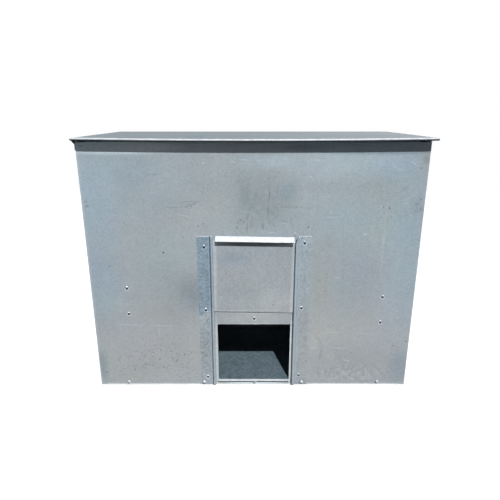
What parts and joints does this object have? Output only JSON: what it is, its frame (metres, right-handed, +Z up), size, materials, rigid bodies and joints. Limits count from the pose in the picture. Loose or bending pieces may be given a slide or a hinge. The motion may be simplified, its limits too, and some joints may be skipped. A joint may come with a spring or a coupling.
{
  "type": "coal bunker",
  "caption": "Galvanised sheet-steel coal bunker with a hinged sloping lid and a sliding hatch door held in side guides.",
  "frame": {"origin": "on the ground, in the middle of the area that the whole bunker takes up, lid overhang and hinges included", "axes": "+X to the right as seen from the front, +Y from the hatch towards the back wall, +Z up"},
  "size_m": [1.011, 0.4371, 0.819],
  "materials": {
    "galvanised_wall": "weathered galvanised sheet, matt with a faint spangle, bluish above and warmer grey towards the foot",
    "galvanised_lid": "weathered galvanised sheet, slightly brighter, with a bright rolled front edge",
    "spangled_guide": "galvanised sheet with a fine blue-grey spangle",
    "hatch_sheet": "smooth galvanised sheet with light scuffs",
    "dull_inner_sheet": "dull galvanised sheet, dusted with coal",
    "bright_zinc": "zinc-plated fasteners and hinges"
  },
  "bodies": {
    "bin": {"front_panel": "galvanised_wall", "back_panel": "galvanised_wall", "left_side_panel": "galvanised_wall", "right_side_panel": "galvanised_wall", "left_floor_tray": "dull_inner_sheet", "middle_floor_tray": "dull_inner_sheet", "right_floor_tray": "dull_inner_sheet", "left_guide": "spangled_guide", "right_guide": "spangled_guide", "left_front_corner_bracket": "dull_inner_sheet", "right_front_corner_bracket": "dull_inner_sheet", "left_back_corner_bracket": "dull_inner_sheet", "right_back_corner_bracket": "dull_inner_sheet", "hatch_header": "dull_inner_sheet", "left_tie_bar": "dull_inner_sheet", "right_tie_bar": "dull_inner_sheet", "left_hinge_wall_leaf": "bright_zinc", "right_hinge_wall_leaf": "bright_zinc", "left_hinge_pin": "bright_zinc", "right_hinge_pin": "bright_zinc", "hatch_header_rivet": "bright_zinc", "left_guide_rivet_1": "bright_zinc", "left_guide_rivet_2": "bright_zinc", "left_guide_rivet_3": "bright_zinc", "right_guide_rivet_1": "bright_zinc", "right_guide_rivet_2": "bright_zinc", "right_guide_rivet_3": "bright_zinc", "left_tie_front_rivet_1": "bright_zinc", "left_tie_front_rivet_2": "bright_zinc", "left_tie_back_rivet_1": "bright_zinc", "left_tie_back_rivet_2": "bright_zinc", "right_tie_front_rivet_1": "bright_zinc", "right_tie_front_rivet_2": "bright_zinc", "right_tie_back_rivet_1": "bright_zinc", "right_tie_back_rivet_2": "bright_zinc", "left_front_corner_rivet": "bright_zinc", "right_front_corner_rivet": "bright_zinc", "left_back_corner_rivet": "bright_zinc", "right_back_corner_rivet": "bright_zinc", "front_bolt_1": "bright_zinc", "front_bolt_2": "bright_zinc", "front_bolt_3": "bright_zinc", "front_bolt_4": "bright_zinc", "front_bolt_5": "bright_zinc", "left_side_bolt_1": "bright_zinc", "left_side_bolt_2": "bright_zinc", "right_side_bolt_1": "bright_zinc", "right_side_bolt_2": "bright_zinc", "back_bolt_1": "bright_zinc", "back_bolt_2": "bright_zinc", "back_bolt_3": "bright_zinc"},
    "lid": {"lid": "galvanised_lid", "left_hinge_lid_leaf": "bright_zinc", "right_hinge_lid_leaf": "bright_zinc"},
    "hatch_door": {"hatch_door": "hatch_sheet"}
  },
  "joints": [
    {"name": "lid_hinge", "type": "hinge", "parent": "bin", "child": "lid", "pos_m": [0, 0.2146, 0.785], "axis": [-1, 0, 0], "range_deg": [0, 105]},
    {"name": "hatch_slide", "type": "slide", "parent": "bin", "child": "hatch_door", "axis": [0, 0, 1], "range_m": [-0.237, 0.2315]}
  ]
}
